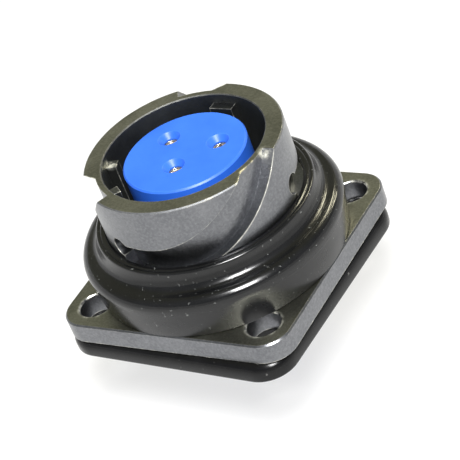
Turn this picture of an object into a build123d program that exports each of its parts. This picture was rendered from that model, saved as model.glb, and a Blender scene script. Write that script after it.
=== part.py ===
from build123d import *

import math
import os

os.makedirs("parts", exist_ok=True)

# Box-mounting circular power receptacle with a three-start reverse bayonet coupling.
# Sizes are in millimetres. The origin is the centre of the flange's rear face, the one
# that faces the panel, and +Z runs along the connector's axis to its mating end.

# Barrel in front of the flange, the size that the rest is built out from
barrel_diameter = 25.4
barrel_height = 16.2
barrel_wall = 2.3
rim_outer_bevel = 0.15
rim_inner_bevel = 0.12

# Square flange
flange_margin = 3.55
flange_thickness = 2.7
flange_corner_radius = 3.6
flange_edge_bevel = 0.2
hole_inset = 3.95
hole_diameter = 4.3
hole_edge_bevel = 0.15

# Bayonet slots in the barrel, with angles counted from the middle of each pin rest
slot_count = 3
slot_depth = 1.5
slot_floor_height = 6.7
track_width = 3.7
pin_rest_diameter = 2.6
pin_rest_bite = 0.68
pin_rest_extra_depth = 0.1
first_pin_rest_angle = 8.5
cam_start_angle = 20.0
cam_exit_angle = 83.0
cam_root_exit_angle = 91.0
ramp_foot_angle = 31.0
ramp_exit_angle = 114.0
slot_overrun_angle = 4.0
slot_section_count = 14

# Gap for the mating plug between the barrel and the insert, with its polarising keys
mating_gap = 2.5
key_depth = 1.3
key_root = 0.3
key_below_rim = 1.3
main_key_width = 3.2
minor_key_width = 1.4
polarising_keys = ((90.0, main_key_width), (196.0, minor_key_width), (231.0, minor_key_width))

# Rear of the shell: the lip that holds the insert and the boss that passes through the panel
lip_height = 1.2
lip_thickness = 1.8
rear_bore_step = 1.55
boss_wall = 1.4
boss_length = 8.5
boss_edge_bevel = 0.4
gasket_seat_step = 0.35
index_rib_width = 1.6
index_rib_depth = 0.8

# Coupling seal ring on the flange, round the foot of the barrel
ring_bore_clearance = 0.05
ring_collar_wall = 1.9
ring_collar_foot_height = 6.4
ring_collar_flare = 0.4
ring_collar_height = 8.1
ring_collar_bevel = 0.2
ring_brim_reach = 2.45
ring_brim_height = 5.3
ring_brim_round = 0.9
ring_brim_lean = 0.65

# Flange gasket between the flange and the panel, which lies a little askew
gasket_thickness = 2.4
gasket_corner_radius = 4.2
gasket_front_bevel = 0.3
gasket_rear_bevel = 0.6
gasket_bore_gap = 0.85
gasket_hole_diameter = 5.8
gasket_turn_angle = -1.9
gasket_shift_x = 0.05
gasket_shift_y = -0.6

# Front insulator, which carries the socket contacts
insert_face_below_rim = 0.8
insert_edge_bevel = 0.2
insert_foot_thickness = 3.0
insert_neck_relief = 0.2
insert_neck_overrun = 0.3
insert_lip_clearance = 0.15
insert_bore_clearance = 0.1
index_notch_clearance = 0.1

# Contact places on the insert's face from the mating end, as shares of its radius
contact_pattern = ((-0.45, 0.29), (0.45, 0.29), (0.0, -0.35))

# Contact entry in the insert's face
funnel_diameter = 2.9
funnel_depth = 0.7
entry_diameter = 1.7
entry_length = 0.2

# Socket contacts
socket_bore_diameter = 1.7
socket_bore_depth = 9.0
socket_diameter = 2.6
socket_front_gap = 0.3
slit_width = 0.25
slit_length = 6.5
contact_shoulder_diameter = 4.0
contact_shoulder_thickness = 1.0
tail_diameter = 2.9
tail_length = 10.9
tail_hole_clearance = 0.1
cup_bore_diameter = 2.1
cup_bore_depth = 5.0
cup_window_length = 3.4
cup_window_offset = 0.3

# Closed-entry hood over each socket's tines
hood_wall = 0.18
hood_length = 8.0
hood_lip_thickness = 0.2
hood_clearance = 0.02
chamber_clearance = 0.08

# Sealing and holding pieces behind the insert
insert_seal_thickness = 0.8
rear_insulator_thickness = 3.2
washer_thickness = 0.6
washer_band = 2.2
snap_ring_thickness = 1.0
snap_ring_wall = 1.5
snap_groove_depth = 0.6
snap_groove_clearance = 0.05
snap_ring_gap_angle = 50.0
snap_ring_gap_direction_angle = 270.0
snap_ring_ear_setback_angle = 7.0
snap_ring_ear_diameter = 2.6
snap_ring_ear_hole_diameter = 1.1

# Heights and radii that follow from the sizes above
barrel_radius = barrel_diameter / 2
cavity_radius = barrel_radius - barrel_wall
key_inner_radius = cavity_radius - key_depth
insert_radius = cavity_radius - mating_gap
lip_radius = insert_radius + insert_lip_clearance
rear_bore_radius = lip_radius + rear_bore_step
boss_radius = rear_bore_radius + boss_wall
gasket_seat_radius = boss_radius + gasket_seat_step
flange_side = barrel_diameter + 2 * flange_margin
hole_spacing = flange_side - 2 * hole_inset
rim_z = flange_thickness + barrel_height
slot_floor_radius = barrel_radius - slot_depth
slot_bottom_z = flange_thickness + slot_floor_height
track_top_z = slot_bottom_z + track_width
pin_rest_z = track_top_z + pin_rest_bite - pin_rest_diameter / 2
pin_rest_floor_radius = slot_floor_radius - pin_rest_extra_depth
lip_front_z = lip_height + lip_thickness
insert_face_z = rim_z - insert_face_below_rim
insert_foot_front_z = lip_height - insert_seal_thickness
insert_foot_rear_z = insert_foot_front_z - insert_foot_thickness
insert_foot_radius = rear_bore_radius - insert_bore_clearance
insert_neck_radius = insert_radius - insert_neck_relief
nose_rear_z = lip_front_z + insert_neck_overrun
contact_places = [(insert_radius * across, insert_radius * up) for across, up in contact_pattern]
rear_insulator_rear_z = insert_foot_rear_z - rear_insulator_thickness
washer_rear_z = rear_insulator_rear_z - washer_thickness
snap_ring_rear_z = washer_rear_z - snap_ring_thickness
snap_ring_radius = rear_bore_radius + snap_groove_depth - snap_groove_clearance
snap_ring_ear_angle = snap_ring_gap_angle / 2 + snap_ring_ear_setback_angle
ring_bore_radius = barrel_radius + ring_bore_clearance
ring_collar_radius = barrel_radius + ring_collar_wall
ring_brim_radius = ring_collar_radius + ring_brim_reach
ring_foot_radius = ring_brim_radius - ring_brim_lean
ring_collar_foot_radius = ring_collar_radius + ring_collar_flare
ring_top_z = flange_thickness + ring_collar_height
entry_end_z = insert_face_z - funnel_depth - entry_length
funnel_angle = 2 * math.degrees(math.atan((funnel_diameter - entry_diameter) / 2 / funnel_depth))
socket_front_z = entry_end_z - socket_front_gap
socket_radius = socket_diameter / 2
hood_bore_radius = socket_radius + hood_clearance
hood_radius = hood_bore_radius + hood_wall
chamber_radius = hood_radius + chamber_clearance
shoulder_radius = contact_shoulder_diameter / 2
shoulder_front_z = insert_foot_rear_z + contact_shoulder_thickness
tail_radius = tail_diameter / 2
contact_rear_z = insert_foot_rear_z - tail_length
margin = 1.0


def radial_plane(angle):
    """A plane through the connector's axis: local x points outwards and local y up."""
    outward = (math.cos(math.radians(angle)), math.sin(math.radians(angle)), 0)
    return Plane(origin=(0, 0, 0), x_dir=outward, z_dir=(outward[1], -outward[0], 0))


def slot_top(angle, exit_angle):
    """Height of the cam face, which draws the mating half home, where it leaves at exit_angle."""
    climb = max(0.0, (angle - cam_start_angle) / (exit_angle - cam_start_angle))
    return track_top_z + (rim_z - track_top_z) * climb**2


def slot_bottom(angle):
    """Height of the slot's lower flank: level at first, then in a growing curve up to the rim."""
    climb = max(0.0, (angle - ramp_foot_angle) / (ramp_exit_angle - ramp_foot_angle))
    return slot_bottom_z + (rim_z - slot_bottom_z) * climb**2


def slot_section(angle):
    """The slot's section in the radial plane at this angle: the cam face leans towards its root."""
    low, root = slot_bottom(angle), slot_top(angle, cam_root_exit_angle)
    lean = (slot_top(angle, cam_exit_angle) - root) / slot_depth
    reach = slot_depth + margin
    with BuildSketch(radial_plane(angle)) as section:
        with BuildLine():
            Polyline(
                (slot_floor_radius, low),
                (slot_floor_radius + reach, low),
                (slot_floor_radius + reach, root + lean * reach),
                (slot_floor_radius, root),
                close=True,
            )
        make_face()
    return section.sketch


# One bayonet slot: a level track from the pin rest, then a widening way up to the rim
slot_step_angle = (ramp_exit_angle + slot_overrun_angle) / slot_section_count
with BuildPart() as slot_track:
    loft([slot_section(slot_step_angle * i) for i in range(slot_section_count + 1)])

with BuildPart() as pin_rest:
    with BuildSketch(Plane(origin=(pin_rest_floor_radius, 0, pin_rest_z), z_dir=(1, 0, 0))):
        Circle(pin_rest_diameter / 2)
    extrude(amount=barrel_radius + margin - pin_rest_floor_radius)

# Shell: flange, barrel and rear boss are one casting
with BuildPart() as shell:
    with BuildSketch():
        RectangleRounded(flange_side, flange_side, flange_corner_radius)
    extrude(amount=flange_thickness)
    chamfer(shell.faces().sort_by(Axis.Z)[-1].edges(), flange_edge_bevel)
    with BuildSketch(Plane.XZ):
        with BuildLine():
            Polyline(
                (0, -boss_length),
                (boss_radius - boss_edge_bevel, -boss_length),
                (boss_radius, -boss_length + boss_edge_bevel),
                (boss_radius, -gasket_thickness),
                (gasket_seat_radius, -gasket_thickness),
                (gasket_seat_radius, flange_thickness / 2),
                (barrel_radius, flange_thickness / 2),
                (barrel_radius, rim_z - rim_outer_bevel),
                (barrel_radius - rim_outer_bevel, rim_z),
                (0, rim_z),
                (0, -boss_length),
            )
        make_face()
    revolve(axis=Axis.Z)
    # Stepped bore: mating cavity, lip, insert bore and snap ring groove
    with BuildSketch(Plane.XZ):
        with BuildLine():
            Polyline(
                (0, -boss_length - margin),
                (rear_bore_radius, -boss_length - margin),
                (rear_bore_radius, snap_ring_rear_z - snap_groove_clearance),
                (rear_bore_radius + snap_groove_depth, snap_ring_rear_z - snap_groove_clearance),
                (rear_bore_radius + snap_groove_depth, washer_rear_z + snap_groove_clearance),
                (rear_bore_radius, washer_rear_z + snap_groove_clearance),
                (rear_bore_radius, lip_height),
                (lip_radius, lip_height),
                (lip_radius, lip_front_z),
                (cavity_radius, lip_front_z),
                (cavity_radius, rim_z - rim_inner_bevel),
                (cavity_radius + rim_inner_bevel + margin, rim_z + margin),
                (0, rim_z + margin),
                (0, -boss_length - margin),
            )
        make_face()
    revolve(axis=Axis.Z, mode=Mode.SUBTRACT)
    # Polarising keys, which stop short of the rim
    with BuildSketch(Plane.XY.offset(lip_front_z)):
        for key_angle, key_width in polarising_keys:
            with PolarLocations(key_inner_radius, 1, start_angle=key_angle):
                Rectangle(key_depth + key_root, key_width, align=(Align.MIN, Align.CENTER))
    extrude(amount=rim_z - key_below_rim - lip_front_z)
    # Index rib that keeps the insulators from turning
    with BuildSketch(Plane.XY.offset(rear_insulator_rear_z)):
        with Locations((0, rear_bore_radius)):
            Rectangle(index_rib_width, 2 * index_rib_depth)
    extrude(amount=lip_height - rear_insulator_rear_z)
    for slot_tool in (slot_track, pin_rest):
        with PolarLocations(0, slot_count, start_angle=first_pin_rest_angle):
            add(slot_tool.part, mode=Mode.SUBTRACT)
    with Locations((0, 0, flange_thickness)):
        with GridLocations(hole_spacing, hole_spacing, 2, 2):
            CounterSinkHole(
                hole_diameter / 2,
                hole_diameter / 2 + hole_edge_bevel,
                depth=flange_thickness,
                counter_sink_angle=90,
            )
shell.part.label = "shell"
export_step(shell.part, "parts/shell.step")

# Coupling seal ring: a broad brim with a sloping top and a collar round the barrel
with BuildPart() as coupling_seal_ring:
    with BuildSketch(Plane.XZ) as ring_profile:
        brim = (ring_brim_radius, flange_thickness + ring_brim_height)
        with BuildLine():
            Polyline(
                (ring_bore_radius, flange_thickness),
                (ring_foot_radius, flange_thickness),
                brim,
                (ring_collar_foot_radius, flange_thickness + ring_collar_foot_height),
                (ring_collar_radius, ring_top_z - ring_collar_bevel),
                (ring_collar_radius - ring_collar_bevel, ring_top_z),
                (ring_bore_radius, ring_top_z),
                close=True,
            )
        make_face()
        fillet(ring_profile.vertices().sort_by_distance(brim)[0], ring_brim_round)
    revolve(axis=Axis.Z)
coupling_seal_ring.part.label = "coupling_seal_ring"
export_step(coupling_seal_ring.part, "parts/coupling_seal_ring.step")

# Flange gasket: a soft sheet behind the flange, turned and shifted a little
gasket_x_dir = Vector(1, 0).rotate(Axis.Z, gasket_turn_angle)
gasket_plane = Plane((gasket_shift_x, gasket_shift_y, -gasket_thickness), x_dir=gasket_x_dir)
with BuildPart() as flange_gasket:
    with BuildSketch(gasket_plane):
        RectangleRounded(flange_side, flange_side, gasket_corner_radius)
        Circle(gasket_seat_radius + gasket_bore_gap, mode=Mode.SUBTRACT)
        with GridLocations(hole_spacing, hole_spacing, 2, 2):
            Circle(gasket_hole_diameter / 2, mode=Mode.SUBTRACT)
    extrude(amount=gasket_thickness)
    chamfer(flange_gasket.faces().sort_by(Axis.Z)[-1].outer_wire().edges(), gasket_front_bevel)
    chamfer(flange_gasket.faces().sort_by(Axis.Z)[0].outer_wire().edges(), gasket_rear_bevel)
flange_gasket.part.label = "flange_gasket"
export_step(flange_gasket.part, "parts/flange_gasket.step")

# Outline of a disc that fits the rear bore and straddles the index rib
with BuildSketch() as indexed_disc:
    Circle(insert_foot_radius)
    with Locations((0, rear_bore_radius)):
        Rectangle(
            index_rib_width + 2 * index_notch_clearance,
            2 * (index_rib_depth + index_notch_clearance),
            mode=Mode.SUBTRACT,
        )

# Front insulator: the foot is caught behind the lip and the nose carries the sockets
with BuildPart() as front_insulator:
    with BuildSketch(Plane.XY.offset(insert_foot_rear_z)):
        add(indexed_disc.sketch)
    extrude(amount=insert_foot_thickness)
    with BuildSketch(Plane.XY.offset(insert_foot_front_z)):
        Circle(insert_neck_radius)
    extrude(amount=nose_rear_z - insert_foot_front_z)
    with BuildSketch(Plane.XY.offset(nose_rear_z)):
        Circle(insert_radius)
    extrude(amount=insert_face_z - nose_rear_z)
    chamfer(front_insulator.faces().sort_by(Axis.Z)[-1].edges(), insert_edge_bevel)
    with Locations(*((x, y, insert_face_z) for x, y in contact_places)):
        CounterSinkHole(
            entry_diameter / 2,
            funnel_diameter / 2,
            counter_sink_angle=funnel_angle,
        )
    with BuildSketch(Plane.XY.offset(insert_foot_rear_z)):
        with Locations(*contact_places):
            Circle(chamber_radius)
    extrude(amount=entry_end_z - insert_foot_rear_z, mode=Mode.SUBTRACT)
    with BuildSketch(Plane.XY.offset(insert_foot_rear_z)):
        with Locations(*contact_places):
            Circle(shoulder_radius + chamber_clearance)
    extrude(amount=contact_shoulder_thickness, mode=Mode.SUBTRACT)
front_insulator.part.label = "front_insulator"
export_step(front_insulator.part, "parts/front_insulator.step")

# Rear insulator: clamps the contact shoulders against the front insulator
with BuildPart() as rear_insulator:
    with BuildSketch(Plane.XY.offset(rear_insulator_rear_z)):
        add(indexed_disc.sketch)
        with Locations(*contact_places):
            Circle(tail_radius + tail_hole_clearance, mode=Mode.SUBTRACT)
    extrude(amount=rear_insulator_thickness)
rear_insulator.part.label = "rear_insulator"
export_step(rear_insulator.part, "parts/rear_insulator.step")

# Insert seal: a soft flat ring between the lip and the insulator's foot
with BuildPart() as insert_seal:
    with BuildSketch(Plane.XY.offset(insert_foot_front_z)):
        add(indexed_disc.sketch)
        Circle(lip_radius, mode=Mode.SUBTRACT)
    extrude(amount=insert_seal_thickness)
insert_seal.part.label = "insert_seal"
export_step(insert_seal.part, "parts/insert_seal.step")

# Pressure washer between the rear insulator and the snap ring
with BuildPart() as pressure_washer:
    with BuildSketch(Plane.XY.offset(washer_rear_z)):
        Circle(insert_foot_radius)
        Circle(insert_foot_radius - washer_band, mode=Mode.SUBTRACT)
    extrude(amount=washer_thickness)
pressure_washer.part.label = "pressure_washer"
export_step(pressure_washer.part, "parts/pressure_washer.step")

# Snap ring: an internal ring with a gap and two eared ends for pliers
gap_corners = [
    Vector(2 * snap_ring_radius, 0).rotate(Axis.Z, snap_ring_gap_direction_angle + turn)
    for turn in (-snap_ring_gap_angle / 2, snap_ring_gap_angle / 2)
]
with BuildPart() as snap_ring:
    with BuildSketch(Plane.XY.offset(snap_ring_rear_z)):
        Circle(snap_ring_radius)
        Circle(snap_ring_radius - snap_ring_wall, mode=Mode.SUBTRACT)
        with BuildLine():
            Polyline((0, 0), *gap_corners, close=True)
        make_face(mode=Mode.SUBTRACT)
        with PolarLocations(
            snap_ring_radius - snap_ring_ear_diameter / 2, 2,
            snap_ring_gap_direction_angle - snap_ring_ear_angle, 2 * snap_ring_ear_angle, endpoint=True,
        ):
            Circle(snap_ring_ear_diameter / 2)
            Circle(snap_ring_ear_hole_diameter / 2, mode=Mode.SUBTRACT)
    extrude(amount=snap_ring_thickness)
snap_ring.part.label = "snap_ring"
export_step(snap_ring.part, "parts/snap_ring.step")

# Socket contacts and their hoods, one pair at each position
for number, (x, y) in enumerate(contact_places, start=1):
    outward = Vector(x, y, 0).normalized()
    contact_axis = Axis((x, y, 0), (0, 0, 1))
    section_plane = Plane(origin=(x, y, 0), x_dir=outward, z_dir=outward.cross(Vector(0, 0, 1)))

    with BuildPart() as socket_contact:
        with BuildSketch(section_plane):
            with BuildLine():
                Polyline(
                    (0, contact_rear_z),
                    (tail_radius, contact_rear_z),
                    (tail_radius, insert_foot_rear_z),
                    (shoulder_radius, insert_foot_rear_z),
                    (shoulder_radius, shoulder_front_z),
                    (socket_radius, shoulder_front_z),
                    (socket_radius, socket_front_z),
                    (0, socket_front_z),
                    (0, contact_rear_z),
                )
            make_face()
        revolve(axis=contact_axis)
        with BuildSketch(Plane((x, y, socket_front_z), x_dir=outward)):
            Circle(socket_bore_diameter / 2)
        extrude(amount=-socket_bore_depth, mode=Mode.SUBTRACT)
        with BuildSketch(Plane((x, y, socket_front_z), x_dir=outward)):
            Rectangle(slit_width, socket_diameter + margin)
        extrude(amount=-slit_length, mode=Mode.SUBTRACT)
        with BuildSketch(Plane((x, y, contact_rear_z), x_dir=outward)):
            Circle(cup_bore_diameter / 2)
        extrude(amount=cup_bore_depth, mode=Mode.SUBTRACT)
        with BuildSketch(Plane((x, y, contact_rear_z), x_dir=outward)):
            with Locations((cup_window_offset, 0)):
                Rectangle(tail_diameter, tail_diameter + margin, align=(Align.MIN, Align.CENTER))
        extrude(amount=cup_window_length, mode=Mode.SUBTRACT)
    socket_contact.part.label = f"socket_contact_{number}"
    export_step(socket_contact.part, f"parts/socket_contact_{number}.step")

    with BuildPart() as contact_hood:
        with BuildSketch(Plane((x, y, socket_front_z - hood_length))):
            Circle(hood_radius)
            Circle(hood_bore_radius, mode=Mode.SUBTRACT)
        extrude(amount=hood_length)
        with BuildSketch(Plane((x, y, socket_front_z))):
            Circle(hood_radius)
            Circle(entry_diameter / 2, mode=Mode.SUBTRACT)
        extrude(amount=hood_lip_thickness)
    contact_hood.part.label = f"contact_hood_{number}"
    export_step(contact_hood.part, f"parts/contact_hood_{number}.step")
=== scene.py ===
import math

import bpy
from mathutils import Matrix, Vector


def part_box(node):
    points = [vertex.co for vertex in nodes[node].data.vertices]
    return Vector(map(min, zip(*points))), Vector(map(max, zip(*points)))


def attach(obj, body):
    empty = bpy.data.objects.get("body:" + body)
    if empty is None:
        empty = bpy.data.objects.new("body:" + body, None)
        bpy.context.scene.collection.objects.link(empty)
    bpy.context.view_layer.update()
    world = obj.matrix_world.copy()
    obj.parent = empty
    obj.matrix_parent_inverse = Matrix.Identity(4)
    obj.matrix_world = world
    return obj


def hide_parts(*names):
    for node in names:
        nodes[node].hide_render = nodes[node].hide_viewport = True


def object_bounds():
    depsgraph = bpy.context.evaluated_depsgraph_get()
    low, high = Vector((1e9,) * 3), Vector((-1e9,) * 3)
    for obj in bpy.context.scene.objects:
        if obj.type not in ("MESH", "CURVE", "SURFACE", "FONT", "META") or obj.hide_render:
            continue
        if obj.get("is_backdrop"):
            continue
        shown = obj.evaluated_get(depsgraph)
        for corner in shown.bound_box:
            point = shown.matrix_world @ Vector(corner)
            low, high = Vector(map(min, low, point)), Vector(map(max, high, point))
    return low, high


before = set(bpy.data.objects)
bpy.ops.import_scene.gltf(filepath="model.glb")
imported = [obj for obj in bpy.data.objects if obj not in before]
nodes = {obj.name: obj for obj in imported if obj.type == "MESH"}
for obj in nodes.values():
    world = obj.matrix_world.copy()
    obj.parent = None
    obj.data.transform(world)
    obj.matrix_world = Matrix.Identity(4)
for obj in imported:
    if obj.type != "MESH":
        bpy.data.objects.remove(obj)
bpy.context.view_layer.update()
scene = bpy.context.scene

# The object's own sizes are written in millimetres, and MM turns them into Blender's metres.
# The camera, the lamps, the floor and the backdrop are in metres.
MM = 0.001
HOLE_PLACE = 12.3  # the four screw holes' distance from the middle, each way


# ---- Camera, at the photograph's place ----

CAMERA_PLACE = Vector((0.1324, -0.1487, 0.1434))
CAMERA_RIGHT = Vector((0.8381, 0.4524, -0.3048))
CAMERA_UP = Vector((-0.0702, 0.6436, 0.7622))
CAMERA_LENS = 152.7
SENSOR_WIDTH = 36.0
NEAREST_SEEN = 0.01


def place_camera():
    data = bpy.data.cameras.new("photo_camera")
    data.lens = CAMERA_LENS
    data.sensor_width = SENSOR_WIDTH
    data.clip_start = NEAREST_SEEN
    camera = bpy.data.objects.new("photo_camera", data)
    scene.collection.objects.link(camera)
    back = CAMERA_RIGHT.cross(CAMERA_UP).normalized()
    up = back.cross(CAMERA_RIGHT).normalized()
    right = up.cross(back)
    turn = Matrix((right, up, back)).transposed().to_4x4()
    camera.matrix_world = Matrix.Translation(CAMERA_PLACE) @ turn
    scene.camera = camera


# ---- Modelling helpers ----

def deselect():
    if bpy.context.mode != "OBJECT":
        bpy.ops.object.mode_set(mode="OBJECT")
    bpy.ops.object.select_all(action="DESELECT")


def finish_piece(piece, smooth_angle):
    """Puts the piece's place in its mesh, smooths it and lets it ride on the one body."""
    deselect()
    piece.select_set(True)
    bpy.context.view_layer.objects.active = piece
    bpy.ops.object.transform_apply(location=True, rotation=True, scale=True)
    bpy.ops.object.shade_smooth_by_angle(angle=math.radians(smooth_angle))
    deselect()
    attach(piece, "root")


def arc(centre, radius, start, end, steps):
    """Points of a profile's arc: centre is (radius, height), angles in degrees."""
    points = []
    for i in range(steps + 1):
        a = math.radians(start + (end - start) * i / steps)
        points.append((centre[0] + radius * math.cos(a), centre[1] + radius * math.sin(a)))
    return points


def turn_ring(name, profile, around):
    """Turns a closed profile of (radius, height) points in millimetres about the Z axis."""
    deselect()
    radius, height = profile[0]
    bpy.ops.mesh.primitive_circle_add(
        vertices=around, radius=radius * MM, location=(0, 0, height * MM)
    )
    ring = bpy.context.object
    ring.name = name
    bpy.ops.object.transform_apply(location=True)
    bpy.ops.object.mode_set(mode="EDIT")
    bpy.ops.mesh.select_all(action="SELECT")
    for next_radius, next_height in profile[1:]:
        bpy.ops.mesh.extrude_region_move(
            TRANSFORM_OT_translate={"value": (0, 0, (next_height - height) * MM)}
        )
        grow = next_radius / radius
        bpy.ops.transform.resize(value=(grow, grow, 1), center_override=(0, 0, 0))
        radius, height = next_radius, next_height
    bpy.ops.mesh.select_all(action="DESELECT")
    bpy.ops.mesh.select_non_manifold()
    bpy.ops.mesh.bridge_edge_loops()
    bpy.ops.mesh.select_all(action="SELECT")
    bpy.ops.mesh.normals_make_consistent(inside=False)
    bpy.ops.object.mode_set(mode="OBJECT")
    return ring


# ---- Material helpers ----

# The Mix node's sockets for colours
MIX_SHARE, MIX_FIRST, MIX_SECOND, MIX_RESULT = 0, 6, 7, 2


class Finish:
    """A material whose nodes are made one by one. Its patterns keep to the piece's own place."""

    SOCKETS = {
        "color": "Base Color", "metallic": "Metallic", "roughness": "Roughness",
        "normal": "Normal", "specular": "Specular IOR Level",
    }

    def __init__(self, name):
        self.material = bpy.data.materials.new(name)
        self.material.use_nodes = True
        self.nodes = self.material.node_tree.nodes
        self.links = self.material.node_tree.links
        self.shader = self.nodes["Principled BSDF"]
        self.place = self.nodes.new("ShaderNodeTexCoord").outputs["Object"]

    def put(self, value, socket):
        """Sets a socket to a colour or a number, or links it to another node."""
        if isinstance(value, tuple):
            socket.default_value = (*value, 1.0)
        elif isinstance(value, (int, float)):
            socket.default_value = value
        else:
            self.links.new(value, socket)

    def noise(self, scale, detail, roughness, stretch=None, distortion=0.0):
        """An uneven pattern from 0 to 1; a larger scale is finer."""
        node = self.nodes.new("ShaderNodeTexNoise")
        node.inputs["Scale"].default_value = scale
        node.inputs["Detail"].default_value = detail
        node.inputs["Roughness"].default_value = roughness
        node.inputs["Distortion"].default_value = distortion
        place = self.place
        if stretch:
            mapping = self.nodes.new("ShaderNodeMapping")
            mapping.inputs["Scale"].default_value = stretch
            self.links.new(self.place, mapping.inputs["Vector"])
            place = mapping.outputs["Vector"]
        self.links.new(place, node.inputs["Vector"])
        return node.outputs["Fac"]

    def span(self, value, low, high, to_low=0.0, to_high=1.0):
        """The value's range from low to high, spread over another range and cut off there."""
        node = self.nodes.new("ShaderNodeMapRange")
        node.inputs["From Min"].default_value = low
        node.inputs["From Max"].default_value = high
        node.inputs["To Min"].default_value = to_low
        node.inputs["To Max"].default_value = to_high
        self.links.new(value, node.inputs["Value"])
        return node.outputs["Result"]

    def math(self, operation, *values):
        node = self.nodes.new("ShaderNodeMath")
        node.operation = operation
        for value, socket in zip(values, node.inputs):
            self.put(value, socket)
        return node.outputs["Value"]

    def chain(self, operation, values):
        result = values[0]
        for value in values[1:]:
            result = self.math(operation, result, value)
        return result

    def times(self, *values):
        return self.chain("MULTIPLY", values)

    def plus(self, *values):
        return self.chain("ADD", values)

    def most(self, *values):
        return self.chain("MAXIMUM", values)

    def distance(self, x, y):
        """How far it is to a place that lies x and y away."""
        return self.math("SQRT", self.plus(self.times(x, x), self.times(y, y)))

    def mix(self, share, first, second, blend="MIX"):
        """Two colours mixed, with this share of the second."""
        node = self.nodes.new("ShaderNodeMix")
        node.data_type = "RGBA"
        node.blend_type = blend
        self.put(share, node.inputs[MIX_SHARE])
        self.put(first, node.inputs[MIX_FIRST])
        self.put(second, node.inputs[MIX_SECOND])
        return node.outputs[MIX_RESULT]

    def parts(self, vector=None):
        """The X, Y and Z parts of a vector, or of the place on the piece."""
        split = self.nodes.new("ShaderNodeSeparateXYZ")
        self.links.new(self.place if vector is None else vector, split.inputs["Vector"])
        return split.outputs

    def round_normal(self, radius):
        """A normal that rounds every sharp edge a little."""
        node = self.nodes.new("ShaderNodeBevel")
        node.samples = 6
        node.inputs["Radius"].default_value = radius
        return node.outputs["Normal"]

    def outer_edge(self, reach):
        """How near a surface comes to a sharp outer edge, from 0 to 1."""
        node = self.nodes.new("ShaderNodeAmbientOcclusion")
        node.samples = 8
        node.inside = True
        node.only_local = True
        node.inputs["Distance"].default_value = reach
        return self.span(node.outputs["AO"], 0.55, 0.93, 1.0, 0.0)

    def near(self, centre, reach):
        """1 at a place in millimetres, falling to 0 at this distance from it."""
        node = self.nodes.new("ShaderNodeVectorMath")
        node.operation = "DISTANCE"
        self.links.new(self.place, node.inputs[0])
        node.inputs[1].default_value = [c * MM for c in centre]
        return self.span(node.outputs["Value"], 0.35 * reach * MM, reach * MM, 1.0, 0.0)

    def near_any(self, spots):
        """1 at any of these spots, each a place and its reach in millimetres."""
        return self.most(*[self.near(centre, reach) for centre, reach in spots])

    def rings(self, spacing, distortion):
        """Turned lines about the Z axis, this far apart in millimetres."""
        node = self.nodes.new("ShaderNodeTexWave")
        node.wave_type = "RINGS"
        node.rings_direction = "Z"
        node.inputs["Scale"].default_value = 2 * math.pi / (20 * spacing * MM)
        node.inputs["Distortion"].default_value = distortion
        node.inputs["Detail"].default_value = 3.0
        node.inputs["Detail Scale"].default_value = 0.8
        self.links.new(self.place, node.inputs["Vector"])
        return node.outputs["Fac"]

    def bump(self, height, distance, strength, normal=None):
        node = self.nodes.new("ShaderNodeBump")
        node.inputs["Strength"].default_value = strength
        node.inputs["Distance"].default_value = distance
        self.links.new(height, node.inputs["Height"])
        if normal is not None:
            self.links.new(normal, node.inputs["Normal"])
        return node.outputs["Normal"]

    def set(self, **values):
        for name, value in values.items():
            self.put(value, self.shader.inputs[self.SOCKETS[name]])
        return self.material


# ---- Finish of the shell ----

PLATING_DULL = (0.165, 0.17, 0.182)
PLATING_CLEAN = (0.215, 0.22, 0.232)
PLATING_GRAIN = (0.31, 0.314, 0.326)
PLATING_PITS = (0.12, 0.12, 0.124)
# Painted shade for the cavity's wall
CAVITY_PAINTED_SHADE = (0.07, 0.075, 0.066)
# Painted shade for the rim's inner bevel
RIM_INNER_BEVEL_SHADE = (0.06, 0.06, 0.045)
# Painted light for the faces that look up
TOP_FACE_PAINTED_LIGHT = (1.40, 1.37, 1.08)
# Bright bare metal of the wear, also used for painted glints
BARE_METAL_AND_GLINT = (0.82, 0.81, 0.71)
# Painted warm highlight on the rim's edges
WARM_HIGHLIGHT_YELLOW = (0.95, 0.86, 0.52)

# Spots of wear, some of them painted highlights as well, each a place on the shell and its reach
FLANK_WEAR_AND_GLINT = (
    ((12.6, -1.3, 17.1), 2.6),
    ((12.4, -2.5, 15.1), 2.4),
    ((11.9, -4.6, 13.6), 2.4),
    ((11.0, -6.3, 12.3), 2.4),
    ((9.7, -8.2, 11.3), 2.4),
)
CORNER_WEAR_AND_KEY_GLINT = (
    ((11.5, 0.1, 18.6), 1.0),
    ((12.4, -11.6, 2.7), 1.3),
    # A painted glint on a key's top, not a knocked corner
    ((-9.3, -2.9, 17.9), 1.0),
)
# Places of the rim's painted warm highlight, each with its reach
RIM_WARM_HIGHLIGHT_SPOTS = (((9.9, -3.6, 19.1), 3.4), ((6.8, -8.1, 19.1), 3.0))

# Heights and radii that part the shell's faces
HOLE_EDGE, HOLE_WEAR_END = 2.20, 2.62
FLANGE_FACE_FROM = 2.45
CAVITY_FROM = 2.9
CAVITY_RADIUS, CAVITY_FADE_END = 10.44, 10.5
FLANGE_FACES_BELOW, RIM_FACE_FROM = 3.0, 18.4
RIM_EDGES_FROM = 17.5
RIM_BEVEL_RADIUS, RIM_BEVEL_END = 10.55, 10.65


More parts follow.
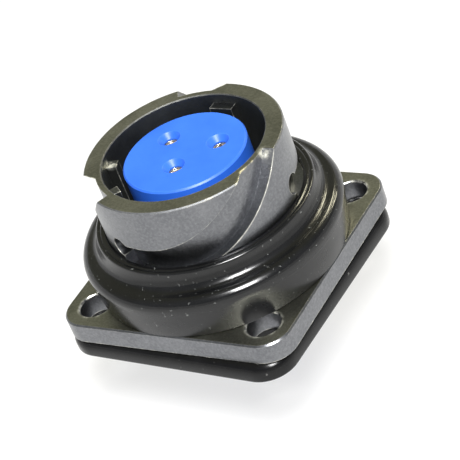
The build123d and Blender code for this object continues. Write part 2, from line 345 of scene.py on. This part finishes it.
def plated_casting():
    """Satin plating over fine-grained casting, bright at edges from wear and painted highlights.
    """
    finish = Finish("plated_casting")
    x, y, z = finish.parts()[:3]
    from_axis = finish.distance(x, y)
    facing_up = finish.parts(finish.nodes.new("ShaderNodeNewGeometry").outputs["Normal"])[2]
    grain = finish.noise(3000, 3.0, 0.62)
    blotch = finish.noise(240, 4.0, 0.6)
    pits = finish.noise(5200, 2.0, 0.5)
    chips = finish.span(finish.noise(1100, 5.0, 0.7), 0.42, 0.60)
    scratch = finish.noise(700, 3.0, 0.6, stretch=(0.12, 2.6, 1.0), distortion=0.4)

    # The plating itself
    grey = finish.mix(finish.span(blotch, 0.35, 0.7), PLATING_DULL, PLATING_CLEAN)
    grey = finish.mix(finish.span(grain, 0.42, 0.72, 0.0, 0.55), grey, PLATING_GRAIN)
    grey = finish.mix(finish.span(pits, 0.60, 0.72, 0.0, 0.5), grey, PLATING_PITS)

    # Wear on the outer edges, a slot's flank, the rims of the screw holes and some corners; along
    # the flank and on a key's top it is a painted highlight too
    edges = finish.times(finish.outer_edge(0.13 * MM), finish.span(chips, 0, 1, 0.12, 0.85))
    flank_wear_and_glint = finish.times(
        finish.near_any(FLANK_WEAR_AND_GLINT), finish.outer_edge(0.2 * MM),
        finish.span(chips, 0, 1, 0.6, 1.0),
    )
    from_hole = finish.distance(*[
        finish.math("SUBTRACT", finish.math("ABSOLUTE", part), HOLE_PLACE * MM)
        for part in (x, y)
    ])
    hole_rims = finish.times(
        finish.span(from_hole, HOLE_EDGE * MM, HOLE_WEAR_END * MM, 1.0, 0.0),
        finish.math("GREATER_THAN", z, FLANGE_FACE_FROM * MM),
        finish.times(chips, 0.85),
    )
    corners = finish.times(finish.near_any(CORNER_WEAR_AND_KEY_GLINT), chips)
    wear_and_glints = finish.most(edges, flank_wear_and_glint, hole_rims, corners)

    # Painted shade darkens the cavity's wall
    cavity_shade = finish.times(
        finish.span(from_axis, CAVITY_RADIUS * MM, CAVITY_FADE_END * MM, 1.0, 0.0),
        finish.math("GREATER_THAN", z, CAVITY_FROM * MM),
        finish.span(facing_up, 0.3, 0.7, 1.0, 0.0),
    )
    grey = finish.mix(finish.times(cavity_shade, 0.78), grey, CAVITY_PAINTED_SHADE)
    # Painted light makes the faces that look up lighter and yellower
    painted_light_top_faces = finish.times(
        finish.span(facing_up, 0.8, 0.97),
        finish.most(
            finish.math("GREATER_THAN", z, RIM_FACE_FROM * MM),
            finish.math("LESS_THAN", z, FLANGE_FACES_BELOW * MM),
        ),
    )
    grey = finish.mix(painted_light_top_faces, grey, finish.mix(1.0, grey, TOP_FACE_PAINTED_LIGHT, "MULTIPLY"))

    # The rim's broken edges are rougher, and the inner one is darkened with painted shade to dim
    # its highlight
    rim_edges = finish.times(
        finish.span(facing_up, 0.35, 0.5), finish.span(facing_up, 0.88, 0.96, 1.0, 0.0),
        finish.math("GREATER_THAN", z, RIM_EDGES_FROM * MM),
    )
    inner_bevel_shade = finish.times(
        rim_edges, finish.span(from_axis, RIM_BEVEL_RADIUS * MM, RIM_BEVEL_END * MM, 0.6, 0.0)
    )
    grey = finish.mix(inner_bevel_shade, grey, RIM_INNER_BEVEL_SHADE)

    color = finish.mix(wear_and_glints, grey, BARE_METAL_AND_GLINT)
    # Painted highlight: the rim's worn edges turn yellow here as a warm glint
    warm_highlight = finish.times(
        finish.near_any(RIM_WARM_HIGHLIGHT_SPOTS), finish.times(finish.outer_edge(0.35 * MM), chips)
    )
    color = finish.mix(warm_highlight, color, WARM_HIGHLIGHT_YELLOW)
    height = finish.plus(grain, finish.times(finish.span(scratch, 0.60, 0.72), 0.5))
    roughness = finish.plus(
        finish.span(blotch, 0.3, 0.7, 0.27, 0.36), finish.times(cavity_shade, 0.2),
        finish.times(rim_edges, 0.28), finish.times(painted_light_top_faces, 0.05),
    )
    return finish.set(
        color=color, metallic=finish.span(wear_and_glints, 0.0, 1.0, 1.0, 0.45), roughness=roughness,
        normal=finish.bump(height, 0.035 * MM, 0.5, finish.round_normal(0.06 * MM)),
    )


# ---- Finishes of the rubber, resin and small metal parts ----

RING_BLACK, RING_WORN_BLACK = (0.0024, 0.0025, 0.0027), (0.0056, 0.0057, 0.0063)
# Painted sheen: the turned lines' lighter olive colour
RING_LINES_SHEEN = (0.012, 0.012, 0.009)
RING_DUST = (0.26, 0.27, 0.26)
GASKET_BLACK, GASKET_WORN_BLACK = (0.002, 0.002, 0.0022), (0.005, 0.005, 0.0055)
GASKET_DUST = (0.22, 0.22, 0.21)
BLUE, BLUE_LIGHT = (0.021, 0.122, 0.66), (0.031, 0.150, 0.74)
BLUE_EDGE_HIGHLIGHT = (0.13, 0.36, 0.90)
GOLD, GOLD_LIGHT = (0.97, 0.83, 0.56), (1.0, 0.91, 0.72)
STAINLESS = (0.84, 0.83, 0.80)
PHOSPHATED, PHOSPHATED_LIGHT = (0.16, 0.16, 0.165), (0.27, 0.27, 0.275)
SPRING_EDGE = (0.60, 0.60, 0.60)

# Heights on the ring: its side is duller below the gloss, and its top has turned lines
DULL_UP_TO, GLOSS_FROM = 6.4, 7.4
LINES_FROM, LINES_FULL_FROM = 7.8, 8.3
# Where the turned lines show most, with a painted sheen: a place and its reach
LINES_SHEEN_SPOT = ((15.6, 3.2, 8.6), 7.0)


def ring_rubber():
    """Black moulded rubber with a soft gloss, turned lines and painted sheen on top, a little
    dust.
    """
    finish = Finish("ring_rubber")
    z = finish.parts()[2]
    turned = finish.times(
        finish.span(z, LINES_FROM * MM, LINES_FULL_FROM * MM), finish.rings(0.22, 2.2),
        finish.most(finish.near(*LINES_SHEEN_SPOT), 0.22),
    )
    dust = finish.span(finish.noise(1900, 2.0, 0.5), 0.685, 0.76)
    blotch = finish.span(finish.noise(150, 4.0, 0.6), 0.35, 0.7)
    tone = finish.mix(blotch, RING_BLACK, RING_WORN_BLACK)
    # Painted sheen: the turned lines are lighter and olive, most at the sheen spot
    tone = finish.mix(finish.times(turned, 0.3), tone, RING_LINES_SHEEN)
    height = finish.plus(finish.times(finish.noise(1300, 3.0, 0.5), 0.25), turned)
    roughness = finish.plus(
        finish.span(finish.noise(260, 3.0, 0.6), 0.3, 0.7, 0.13, 0.20),
        finish.span(z, DULL_UP_TO * MM, GLOSS_FROM * MM, 0.12, 0.0),
    )
    return finish.set(
        color=finish.mix(finish.times(dust, 0.5), tone, RING_DUST), roughness=roughness,
        normal=finish.bump(height, 0.011 * MM, 1.0), specular=0.52,
    )


def gasket_rubber():
    """Black sheet rubber, smooth at its moulded edge."""
    finish = Finish("gasket_rubber")
    blotch = finish.span(finish.noise(300, 4.0, 0.6), 0.35, 0.7)
    tone = finish.mix(blotch, GASKET_BLACK, GASKET_WORN_BLACK)
    dust = finish.span(finish.noise(1700, 2.0, 0.5), 0.70, 0.77)
    return finish.set(
        color=finish.mix(finish.times(dust, 0.35), tone, GASKET_DUST), roughness=0.2,
        normal=finish.bump(finish.noise(1900, 3.0, 0.6), 0.012 * MM, 0.3), specular=0.3,
    )


def blue_resin():
    """Bright blue moulded resin, with a painted highlight a little lighter along its edges."""
    finish = Finish("blue_resin")
    tone = finish.mix(finish.span(finish.noise(220, 4.0, 0.6), 0.3, 0.7), BLUE, BLUE_LIGHT)
    grain = finish.noise(2400, 3.0, 0.5)
    return finish.set(
        # Painted highlight along the outer edges
        color=finish.mix(finish.times(finish.outer_edge(0.16 * MM), 0.6), tone, BLUE_EDGE_HIGHLIGHT),
        roughness=0.41,
        normal=finish.bump(grain, 0.012 * MM, 0.3, finish.round_normal(0.05 * MM)),
    )


def contact_gold():
    """Thin gold plating, with the machining lines of a turned pin."""
    finish = Finish("contact_gold")
    lines = finish.noise(900, 2.0, 0.5, stretch=(0.15, 0.15, 3.0))
    blotch = finish.span(finish.noise(500, 3.0, 0.6), 0.3, 0.7)
    return finish.set(
        color=finish.mix(blotch, GOLD, GOLD_LIGHT), metallic=0.85,
        roughness=finish.span(lines, 0.3, 0.7, 0.26, 0.38),
        normal=finish.bump(lines, 0.01 * MM, 0.3, finish.round_normal(0.3 * MM)),
    )


def hood_steel():
    """Drawn stainless sleeve."""
    finish = Finish("hood_steel")
    lines = finish.noise(1200, 2.0, 0.5, stretch=(3.0, 3.0, 0.2))
    return finish.set(
        color=STAINLESS, metallic=1.0, roughness=finish.span(lines, 0.3, 0.7, 0.26, 0.38),
        normal=finish.bump(lines, 0.008 * MM, 0.3, finish.round_normal(0.2 * MM)),
    )


def spring_steel():
    """Stamped spring steel, phosphated dark grey and rubbed at its edges."""
    finish = Finish("spring_steel")
    blotch = finish.span(finish.noise(500, 4.0, 0.6), 0.3, 0.7)
    tone = finish.mix(blotch, PHOSPHATED, PHOSPHATED_LIGHT)
    grain = finish.noise(1800, 3.0, 0.5)
    return finish.set(
        color=finish.mix(finish.outer_edge(0.12 * MM), tone, SPRING_EDGE),
        metallic=0.95, roughness=0.38,
        normal=finish.bump(grain, 0.02 * MM, 0.3, finish.round_normal(0.06 * MM)),
    )


# ---- Coupling seal ring ----

RING_BORE = 12.75
RING_FACETS = 240


def seal_ring():
    """The rubber ring: a brim that leans out, a dished top and a collar round the barrel."""
    low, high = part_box("coupling_seal_ring")
    foot_z, top_z = low.z / MM, high.z / MM
    # The foot, with its outer corner rounded, and the side that leans out to the brim
    profile = [(RING_BORE, foot_z + 0.1), (RING_BORE + 0.1, foot_z), (16.1, foot_z)]
    profile += arc((16.14, foot_z + 0.25), 0.25, -90, -7, 4)
    profile += [(16.62, 5.0), (16.82, 6.5)]
    # The brim's wide round, the dish and the concave foot of the collar
    profile += arc((15.52, 7.14), 1.38, 0, 84, 16)
    profile += [(15.4, 8.56), (15.1, 8.63), (14.86, 8.76)]
    profile += [(14.67, 8.95), (14.52, 9.17), (14.4, 9.42), (14.28, 9.74), (14.16, 10.08)]
    # The collar's outer round, the fine groove in its top and its inner round
    profile += arc((13.76, 10.42), 0.34, 12, 82, 7)
    profile += [(13.62, top_z - 0.03), (13.5, top_z - 0.1), (13.38, top_z - 0.03)]
    profile += [(13.2, top_z)]
    profile += arc((12.95, top_z - 0.2), 0.2, 88, 180, 4)
    ring = turn_ring("seal_ring_moulding", profile, RING_FACETS)
    ring.data.materials.append(ring_rubber())
    finish_piece(ring, smooth_angle=50.0)
    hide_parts("coupling_seal_ring")


# ---- Flange gasket ----

GASKET_SIDE = 32.5
GASKET_CORNER = 4.2
GASKET_TOP_ROUND, GASKET_TOP_STEPS = 1.35, 9
GASKET_BACK_ROUND, GASKET_BACK_STEPS = 0.32, 4
GASKET_BORE, GASKET_BORE_FACETS = 12.2, 128
GASKET_HOLE, GASKET_HOLE_FACETS = 2.9, 48
HOLE_EDGE_ROUND = 0.2
# How far it lies askew, as in the photograph
GASKET_SHIFT = (0.05, -0.6)
GASKET_TURN = -1.9


def rounded_sheet(low_z, high_z):
    """A square sheet with round corners, and edges that are rounded above and below."""
    deselect()
    bpy.ops.mesh.primitive_plane_add(size=GASKET_SIDE * MM, location=(0, 0, low_z))
    sheet = bpy.context.object
    sheet.name = "gasket_sheet"
    bpy.ops.object.transform_apply(location=True)
    bpy.ops.object.mode_set(mode="EDIT")
    bpy.ops.mesh.select_all(action="SELECT")
    bpy.ops.mesh.bevel(offset=GASKET_CORNER * MM, segments=16, affect="VERTICES")
    bpy.ops.mesh.select_all(action="SELECT")
    bpy.ops.mesh.extrude_region_move(
        TRANSFORM_OT_translate={"value": (0, 0, high_z - low_z)}
    )
    bpy.ops.mesh.select_all(action="SELECT")
    bpy.ops.mesh.normals_make_consistent(inside=False)
    bpy.ops.mesh.select_all(action="DESELECT")
    bpy.ops.mesh.select_mode(type="EDGE")
    bpy.ops.object.mode_set(mode="OBJECT")
    for face_z, radius, steps in (
        (high_z, GASKET_TOP_ROUND * MM, GASKET_TOP_STEPS),
        (low_z, GASKET_BACK_ROUND * MM, GASKET_BACK_STEPS),
    ):
        for edge in sheet.data.edges:
            ends = [sheet.data.vertices[v].co.z for v in edge.vertices]
            edge.select = all(abs(end - face_z) < 0.001 * MM for end in ends)
        bpy.ops.object.mode_set(mode="EDIT")
        bpy.ops.mesh.bevel(offset=radius, segments=steps, profile=0.5, affect="EDGES")
        bpy.ops.mesh.select_all(action="DESELECT")
        bpy.ops.object.mode_set(mode="OBJECT")
    bpy.ops.object.mode_set(mode="EDIT")
    bpy.ops.mesh.select_all(action="SELECT")
    bpy.ops.mesh.remove_doubles(threshold=0.001 * MM)
    bpy.ops.mesh.normals_make_consistent(inside=False)
    bpy.ops.mesh.select_mode(type="VERT")
    bpy.ops.object.mode_set(mode="OBJECT")
    return sheet


def cut_hole(sheet, x, y, radius, facets, depth, height):
    """Cuts a round hole right through the sheet."""
    deselect()
    bpy.ops.mesh.primitive_cylinder_add(
        vertices=facets, radius=radius * MM, depth=depth, location=(x * MM, y * MM, height)
    )
    cutter = bpy.context.object
    deselect()
    bpy.context.view_layer.objects.active = sheet
    sheet.select_set(True)
    cut = sheet.modifiers.new("hole", "BOOLEAN")
    cut.operation = "DIFFERENCE"
    cut.solver = "EXACT"
    cut.object = cutter
    bpy.ops.object.modifier_apply(modifier=cut.name)
    bpy.data.objects.remove(cutter)


def gasket():
    """The rubber sheet behind the flange: rounded edges and five holes, a little askew."""
    low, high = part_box("flange_gasket")
    sheet = rounded_sheet(low.z, high.z)
    depth = 4 * (high.z - low.z)
    cut_hole(sheet, 0.0, 0.0, GASKET_BORE, GASKET_BORE_FACETS, depth, low.z)
    for x in (-HOLE_PLACE, HOLE_PLACE):
        for y in (-HOLE_PLACE, HOLE_PLACE):
            cut_hole(sheet, x, y, GASKET_HOLE, GASKET_HOLE_FACETS, depth, low.z)
    rounding = sheet.modifiers.new("rounding", "BEVEL")
    rounding.width = HOLE_EDGE_ROUND * MM
    rounding.segments = 3
    rounding.limit_method = "ANGLE"
    rounding.angle_limit = math.radians(50)
    bpy.context.view_layer.objects.active = sheet
    bpy.ops.object.modifier_apply(modifier=rounding.name)
    sheet.location = (GASKET_SHIFT[0] * MM, GASKET_SHIFT[1] * MM, 0)
    sheet.rotation_euler = (0, 0, math.radians(GASKET_TURN))
    sheet.data.materials.append(gasket_rubber())
    finish_piece(sheet, smooth_angle=40.0)
    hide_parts("flange_gasket")


# ---- Finishes of the carried-over nodes ----

def give(material, *names):
    for name in names:
        for slot in nodes[name].material_slots:
            slot.material = material


def dress_nodes():
    give(plated_casting(), "shell")
    give(blue_resin(), "front_insulator", "rear_insulator")
    give(contact_gold(), "socket_contact_1", "socket_contact_2", "socket_contact_3")
    give(hood_steel(), "contact_hood_1", "contact_hood_2", "contact_hood_3")
    give(spring_steel(), "pressure_washer", "snap_ring")
    give(gasket_rubber(), "insert_seal")


# ---- Floor, backdrop and light ----

FLOOR_GAP = 0.0002  # under the object's lowest point
FLOOR_RADIUS = 1.2
# The backdrop's steps, each its radius and its rise from the step before
BACKDROP_STEPS = ((1.3, 0.01), (1.4, 0.04), (1.46, 0.1), (1.5, 0.36))
FLOOR_PALE = (0.9, 0.9, 0.9)
FLOOR_WHITE_SHARE = 0.7

SKY_GREY = (0.34, 0.35, 0.37, 1.0)
SKY_OLIVE = (0.28, 0.28, 0.205, 1.0)
OLIVE_SIDE = (-0.538, 0.604, 0.588)
OLIVE_FROM, OLIVE_FULL = 0.15, 0.80

# The lamps: name, place, size, watts and colour
LAMPS = (
    ("key_light", (0.222, -0.207, 0.45), (0.14, 0.24), 5.2, (1.0, 1.0, 1.0)),
    ("back_light", (0.07, 0.46, 0.38), (0.10, 0.2), 1.3, (1.0, 0.94, 0.70)),
)
LAMP_TARGET = Vector((0, 0, 0.005))


def pale_floor():
    """Matt and pale, and nearer to white where it is seen straight or in a reflection."""
    finish = Finish("pale_floor")
    finish.set(color=FLOOR_PALE, roughness=0.9)
    rays = finish.nodes.new("ShaderNodeLightPath").outputs
    seen = finish.most(rays["Is Camera Ray"], rays["Is Glossy Ray"], rays["Is Transmission Ray"])
    white = finish.nodes.new("ShaderNodeEmission")
    white.inputs["Color"].default_value = (1.0, 1.0, 1.0, 1.0)
    blend = finish.nodes.new("ShaderNodeMixShader")
    finish.links.new(finish.times(seen, FLOOR_WHITE_SHARE), blend.inputs["Fac"])
    finish.links.new(finish.shader.outputs["BSDF"], blend.inputs[1])
    finish.links.new(white.outputs["Emission"], blend.inputs[2])
    finish.links.new(blend.outputs["Shader"], finish.nodes["Material Output"].inputs["Surface"])
    return finish.material


def floor_and_backdrop():
    """A round floor whose edge curves up into a low wall."""
    deselect()
    bpy.ops.mesh.primitive_circle_add(
        vertices=96, radius=FLOOR_RADIUS, fill_type="NGON",
        location=(0, 0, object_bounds()[0][2] - FLOOR_GAP),
    )
    floor = bpy.context.object
    floor.name = "floor_and_backdrop"
    bpy.ops.object.transform_apply(location=True)
    bpy.ops.object.mode_set(mode="EDIT")
    bpy.ops.mesh.select_all(action="SELECT")
    radius = FLOOR_RADIUS
    for next_radius, rise in BACKDROP_STEPS:
        bpy.ops.mesh.extrude_edges_move(TRANSFORM_OT_translate={"value": (0, 0, rise)})
        grow = next_radius / radius
        bpy.ops.transform.resize(value=(grow, grow, 1), center_override=(0, 0, 0))
        radius = next_radius
    bpy.ops.mesh.select_all(action="SELECT")
    bpy.ops.mesh.normals_make_consistent(inside=True)
    bpy.ops.object.mode_set(mode="OBJECT")
    floor.data.materials.append(pale_floor())
    floor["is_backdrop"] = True


def studio_sky():
    """A soft grey light from all round, darker and olive from one side."""
    world = bpy.data.worlds.new("studio_world")
    scene.world = world
    world.use_nodes = True
    tree = world.node_tree
    heading = tree.nodes.new("ShaderNodeVectorMath")
    heading.operation = "DOT_PRODUCT"
    direction = tree.nodes.new("ShaderNodeTexCoord").outputs["Generated"]
    tree.links.new(direction, heading.inputs[0])
    heading.inputs[1].default_value = OLIVE_SIDE
    share = tree.nodes.new("ShaderNodeMapRange")
    share.inputs["From Min"].default_value = OLIVE_FROM
    share.inputs["From Max"].default_value = OLIVE_FULL
    tree.links.new(heading.outputs["Value"], share.inputs["Value"])
    tint = tree.nodes.new("ShaderNodeMix")
    tint.data_type = "RGBA"
    tint.inputs[MIX_FIRST].default_value = SKY_GREY
    tint.inputs[MIX_SECOND].default_value = SKY_OLIVE
    tree.links.new(share.outputs["Result"], tint.inputs[MIX_SHARE])
    sky = tree.nodes["Background"]
    sky.inputs["Strength"].default_value = 1.0
    tree.links.new(tint.outputs[MIX_RESULT], sky.inputs["Color"])


def lamps():
    for name, place, size, watts, tone in LAMPS:
        data = bpy.data.lights.new(name, "AREA")
        data.shape = "RECTANGLE"
        data.size, data.size_y = size
        data.energy = watts
        data.color = tone
        lamp = bpy.data.objects.new(name, data)
        scene.collection.objects.link(lamp)
        lamp.location = place
        aim = LAMP_TARGET - Vector(place)
        lamp.rotation_euler = aim.to_track_quat("-Z", "Y").to_euler()


scene.view_settings.view_transform = "Standard"
place_camera()
seal_ring()
gasket()
dress_nodes()
floor_and_backdrop()
studio_sky()
lamps()
